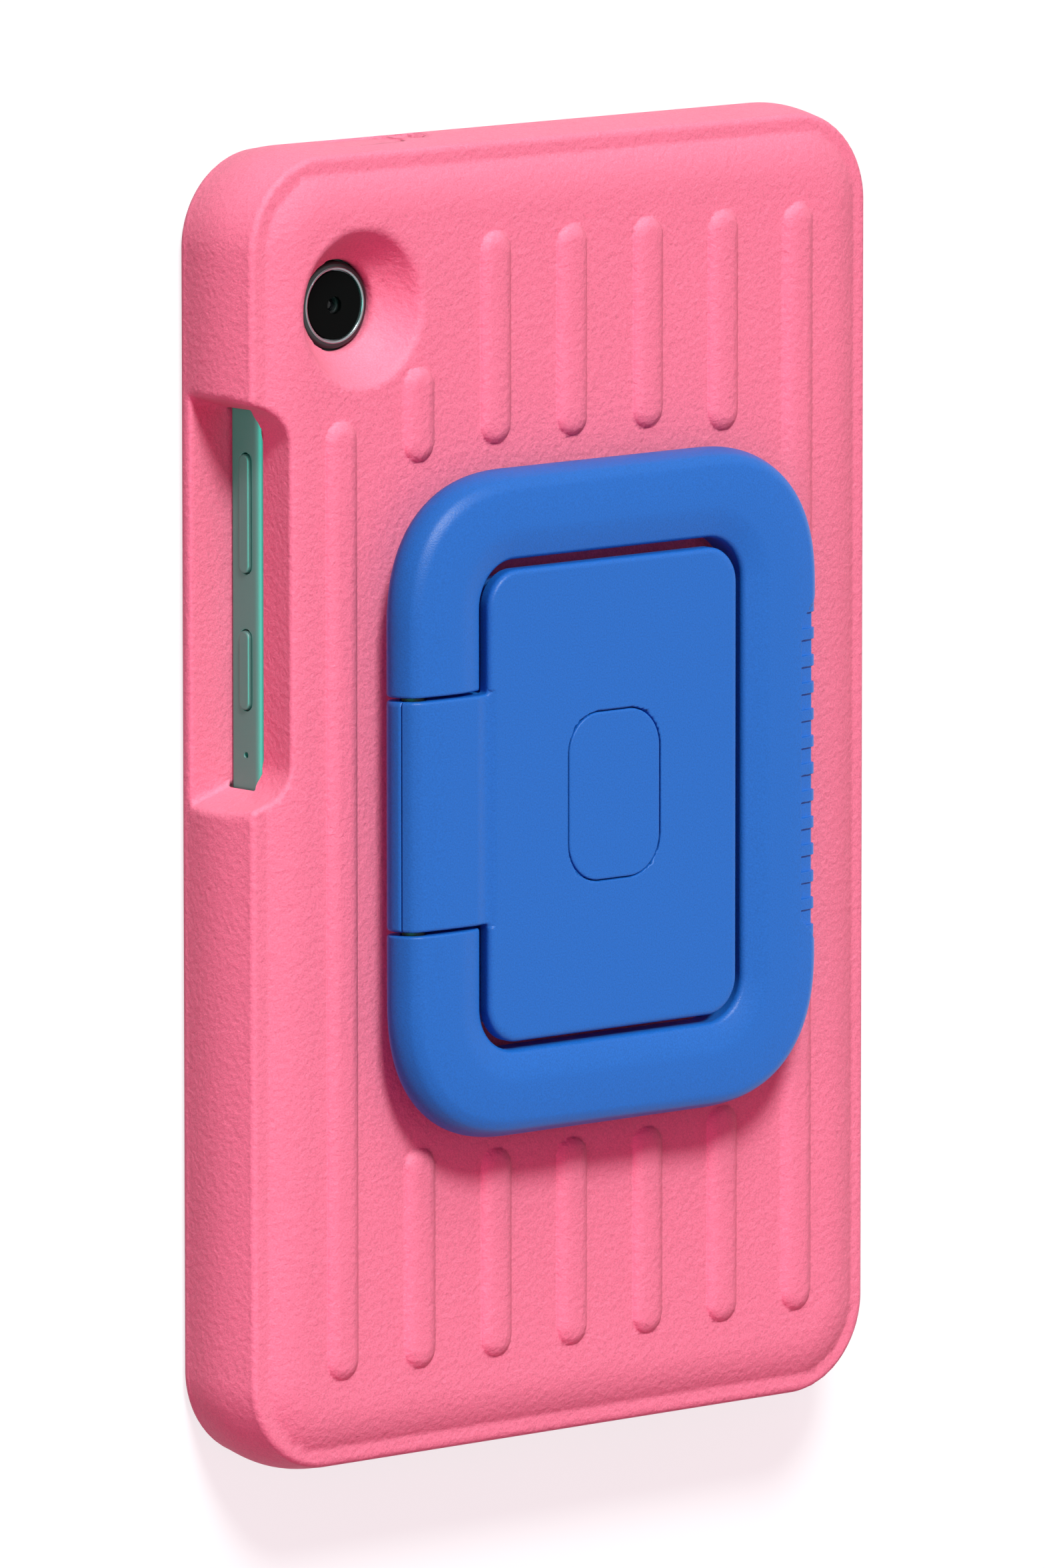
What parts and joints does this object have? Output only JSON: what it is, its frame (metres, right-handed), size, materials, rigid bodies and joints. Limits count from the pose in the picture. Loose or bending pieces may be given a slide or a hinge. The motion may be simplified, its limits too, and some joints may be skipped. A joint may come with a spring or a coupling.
{
  "type": "kids tablet case",
  "caption": "Puffy moulded foam case round a small tablet, with ribs, camera dish and key cut-out, and a hinged plastic loop handle folded flat on its back.",
  "frame": {"origin": "middle of the bounding box's bottom face, on the plane of the front rim that the case lies on", "axes": "+X to the right when the back is looked at, +Y towards the tablet's top edge, +Z out of the back, through the folded handle"},
  "size_m": [0.1448, 0.231, 0.0339],
  "materials": {
    "foam": "matte, fine leathery grain",
    "blue_plastic": "fine matte grain",
    "inner_plastic": "plain",
    "housing": "satin grey",
    "black_glass": "polished",
    "black_plastic": "plain",
    "bezel": "fine turned",
    "steel": "plain"
  },
  "bodies": {
    "case": {"case_shell": "foam", "handle_base": "blue_plastic", "handle_front_cover": "blue_plastic", "handle_centre_cap": "blue_plastic", "hinge_pin_upper": "steel", "hinge_pin_lower": "steel", "cover_screw_upper": "steel", "cover_screw_lower": "steel", "base_retainer_plate": "inner_plastic", "base_screw_1": "steel", "base_screw_2": "steel", "base_screw_3": "steel", "base_screw_4": "steel", "tablet_housing": "housing", "tablet_screen_glass": "black_glass", "tablet_display_panel": "black_plastic", "tablet_camera_ring": "bezel", "tablet_camera_glass": "black_glass", "tablet_lens_barrel": "black_plastic", "tablet_lens_element": "black_glass", "tablet_port_sleeve": "steel", "tablet_port_tongue": "black_plastic", "tablet_jack_ring": "steel"},
    "loop": {"handle_loop": "blue_plastic"},
    "volume_key": {"tablet_volume_key": "housing"},
    "power_key": {"tablet_power_key": "housing"}
  },
  "joints": [
    {"name": "loop_hinge", "type": "hinge", "parent": "case", "child": "loop", "pos_m": [-0.0432, 0, 0.03015], "axis": [0, -1, 0], "range_deg": [0, 180]},
    {"name": "volume_key_press", "type": "slide", "parent": "case", "child": "volume_key", "axis": [1, 0, 0], "range_m": [0, 0.00035], "stiffness_N_per_m": 600, "springref_m": -0.001},
    {"name": "power_key_press", "type": "slide", "parent": "case", "child": "power_key", "axis": [1, 0, 0], "range_m": [0, 0.00035], "stiffness_N_per_m": 600, "springref_m": -0.001}
  ]
}
